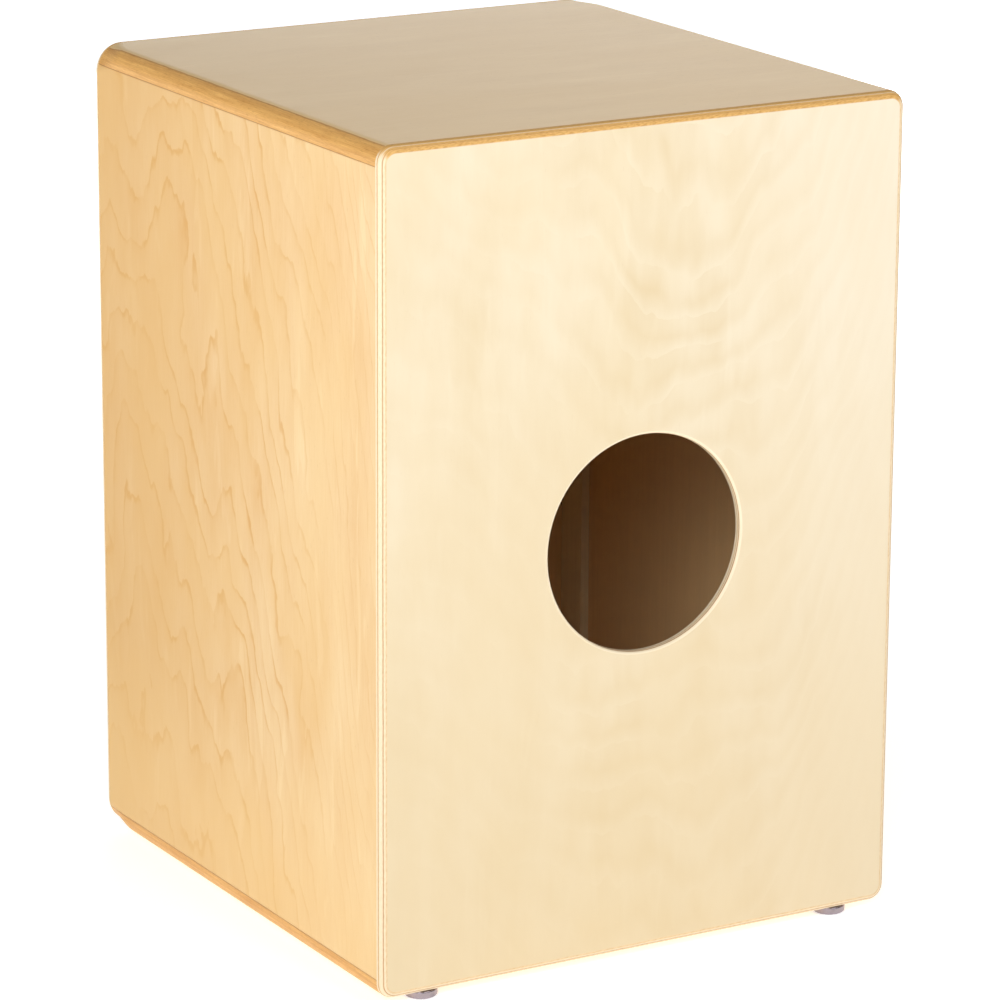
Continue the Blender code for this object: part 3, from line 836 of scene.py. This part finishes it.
def make_floor():
    """A large pale floor just under the feet. It shines more away from the box, to meet the backdrop."""
    g = Graph("floor_paint")
    x, y, _ = g.position()
    cloud = g.noise(g.stretched((x, y), 0.8, 0.8), 2.0)
    colour = g.mix(cloud, (0.90, 0.90, 0.90, 1.0), (0.93, 0.93, 0.93, 1.0))
    away = g.math("SQRT", g.plus(g.times(x, x), g.times(y, y)))
    g.shader.inputs["Emission Color"].default_value = (1, 1, 1, 1)
    g.put(g.shader.inputs["Emission Strength"], g.step(away, 0.3, 1.8, 0.57, 0.90))
    material = g.finish(colour, 0.9)
    half = 30.0
    shape = bmesh.new()
    corners = ((-half, -half), (half, -half), (half, half), (-half, half))
    shape.faces.new([shape.verts.new((x, y, 0.0)) for x, y in corners])
    floor = new_piece("floor", shape, [material], None)
    floor.location.z = -0.0002


def make_world(strength):
    """Soft even light from all round. The camera sees it as a white backdrop."""
    world = bpy.data.worlds.new("studio")
    world.use_nodes = True
    tree = world.node_tree
    background = tree.nodes["Background"]
    background.inputs["Color"].default_value = (1.0, 1.0, 1.0, 1.0)
    seen = tree.nodes.new("ShaderNodeLightPath")
    level = tree.nodes.new("ShaderNodeMapRange")
    level.inputs["To Min"].default_value = strength
    level.inputs["To Max"].default_value = 1.0
    tree.links.new(seen.outputs["Is Camera Ray"], level.inputs["Value"])
    tree.links.new(level.outputs["Result"], background.inputs["Strength"])
    bpy.context.scene.world = world


def area_light(name, azimuth, elevation, distance, size, power):
    """A square softbox that faces the middle of the box, with its angles in degrees."""
    away = direction(math.radians(azimuth), math.radians(elevation))
    data = bpy.data.lights.new(name, "AREA")
    data.size = size
    data.energy = power
    lamp = bpy.data.objects.new(name, data)
    lamp.location = Vector((0, 0, BOX_MIDDLE)) + away * distance
    lamp.rotation_euler = away.to_track_quat("Z", "Y").to_euler()
    bpy.context.scene.collection.objects.link(lamp)


def make_camera():
    """Looks at the rear and the +X side from a little above."""
    back = direction(CAMERA_AZIMUTH, CAMERA_ELEVATION)
    right = (-back).cross(Vector((0, 0, 1))).normalized()
    up = right.cross(-back)
    across = math.cos(CAMERA_ROLL) * right + math.sin(CAMERA_ROLL) * up
    upward = -math.sin(CAMERA_ROLL) * right + math.cos(CAMERA_ROLL) * up
    data = bpy.data.cameras.new("camera")
    data.sensor_width = 36.0
    data.lens = CAMERA_LENS
    data.shift_x, data.shift_y = CAMERA_SHIFT
    data.clip_end = 100.0
    camera = bpy.data.objects.new("camera", data)
    turn = Matrix((across, upward, back)).transposed()
    camera.matrix_world = Matrix.Translation(CAMERA_PLACE) @ turn.to_4x4()
    bpy.context.scene.collection.objects.link(camera)
    bpy.context.scene.camera = camera


bpy.context.scene.view_settings.view_transform = "Standard"
make_camera()
make_world(strength=0.26)
# Azimuth, elevation, distance and size in metres, power in watts
area_light("key", 140, 25, 3.2, 1.2, 34.5)
area_light("rear fill", 196, 40, 3.2, 1.8, 25)
area_light("side", 98, 6, 3.0, 1.4, 20)
area_light("front fill", -30, 8, 2.6, 1.2, 14)
make_floor()

INNER_WOOD = inner_wood_material("inner_wood", 5.0, srgb(252, 213, 157))
TAPA_INNER = inner_wood_material("tapa_inner", 9.0, srgb(255, 222, 168))
STRIP_WOOD = inner_wood_material("strip_wood", 15.0, srgb(255, 238, 200))
ANCHOR_WOOD = inner_wood_material("anchor_wood", 25.0, srgb(206, 160, 112))
NICKEL = metal_material("nickel_plate", srgb(160, 150, 157), 0.14)
BLACK_STEEL = metal_material("black_steel", srgb(48, 48, 50), 0.36)
ZINC_STEEL = metal_material("zinc_steel", srgb(196, 198, 202), 0.30)
BRASS = metal_material("brass", srgb(214, 178, 106), 0.26)
ALUMINIUM = metal_material("milled_aluminium", srgb(214, 215, 218), 0.32)
STRING_STEEL = metal_material("string_steel", srgb(200, 200, 204), 0.26)

make_boards(INNER_WOOD)
make_rear_panel(INNER_WOOD)
make_tapa(TAPA_INNER)
make_tapa_screws(BLACK_STEEL)
make_feet(NICKEL)
make_strings(STRING_STEEL)
dress_cad_nodes((
    ("tapa_strip", STRIP_WOOD),
    ("string_anchor", ANCHOR_WOOD),
    ("string_carriage", ALUMINIUM),
    ("guide_bracket", ZINC_STEEL),
    ("bracket_screw", ZINC_STEEL),
    ("foot_nail", ZINC_STEEL),
    ("bolt_bush", BRASS),
    ("tension_bolt", BLACK_STEEL),
))
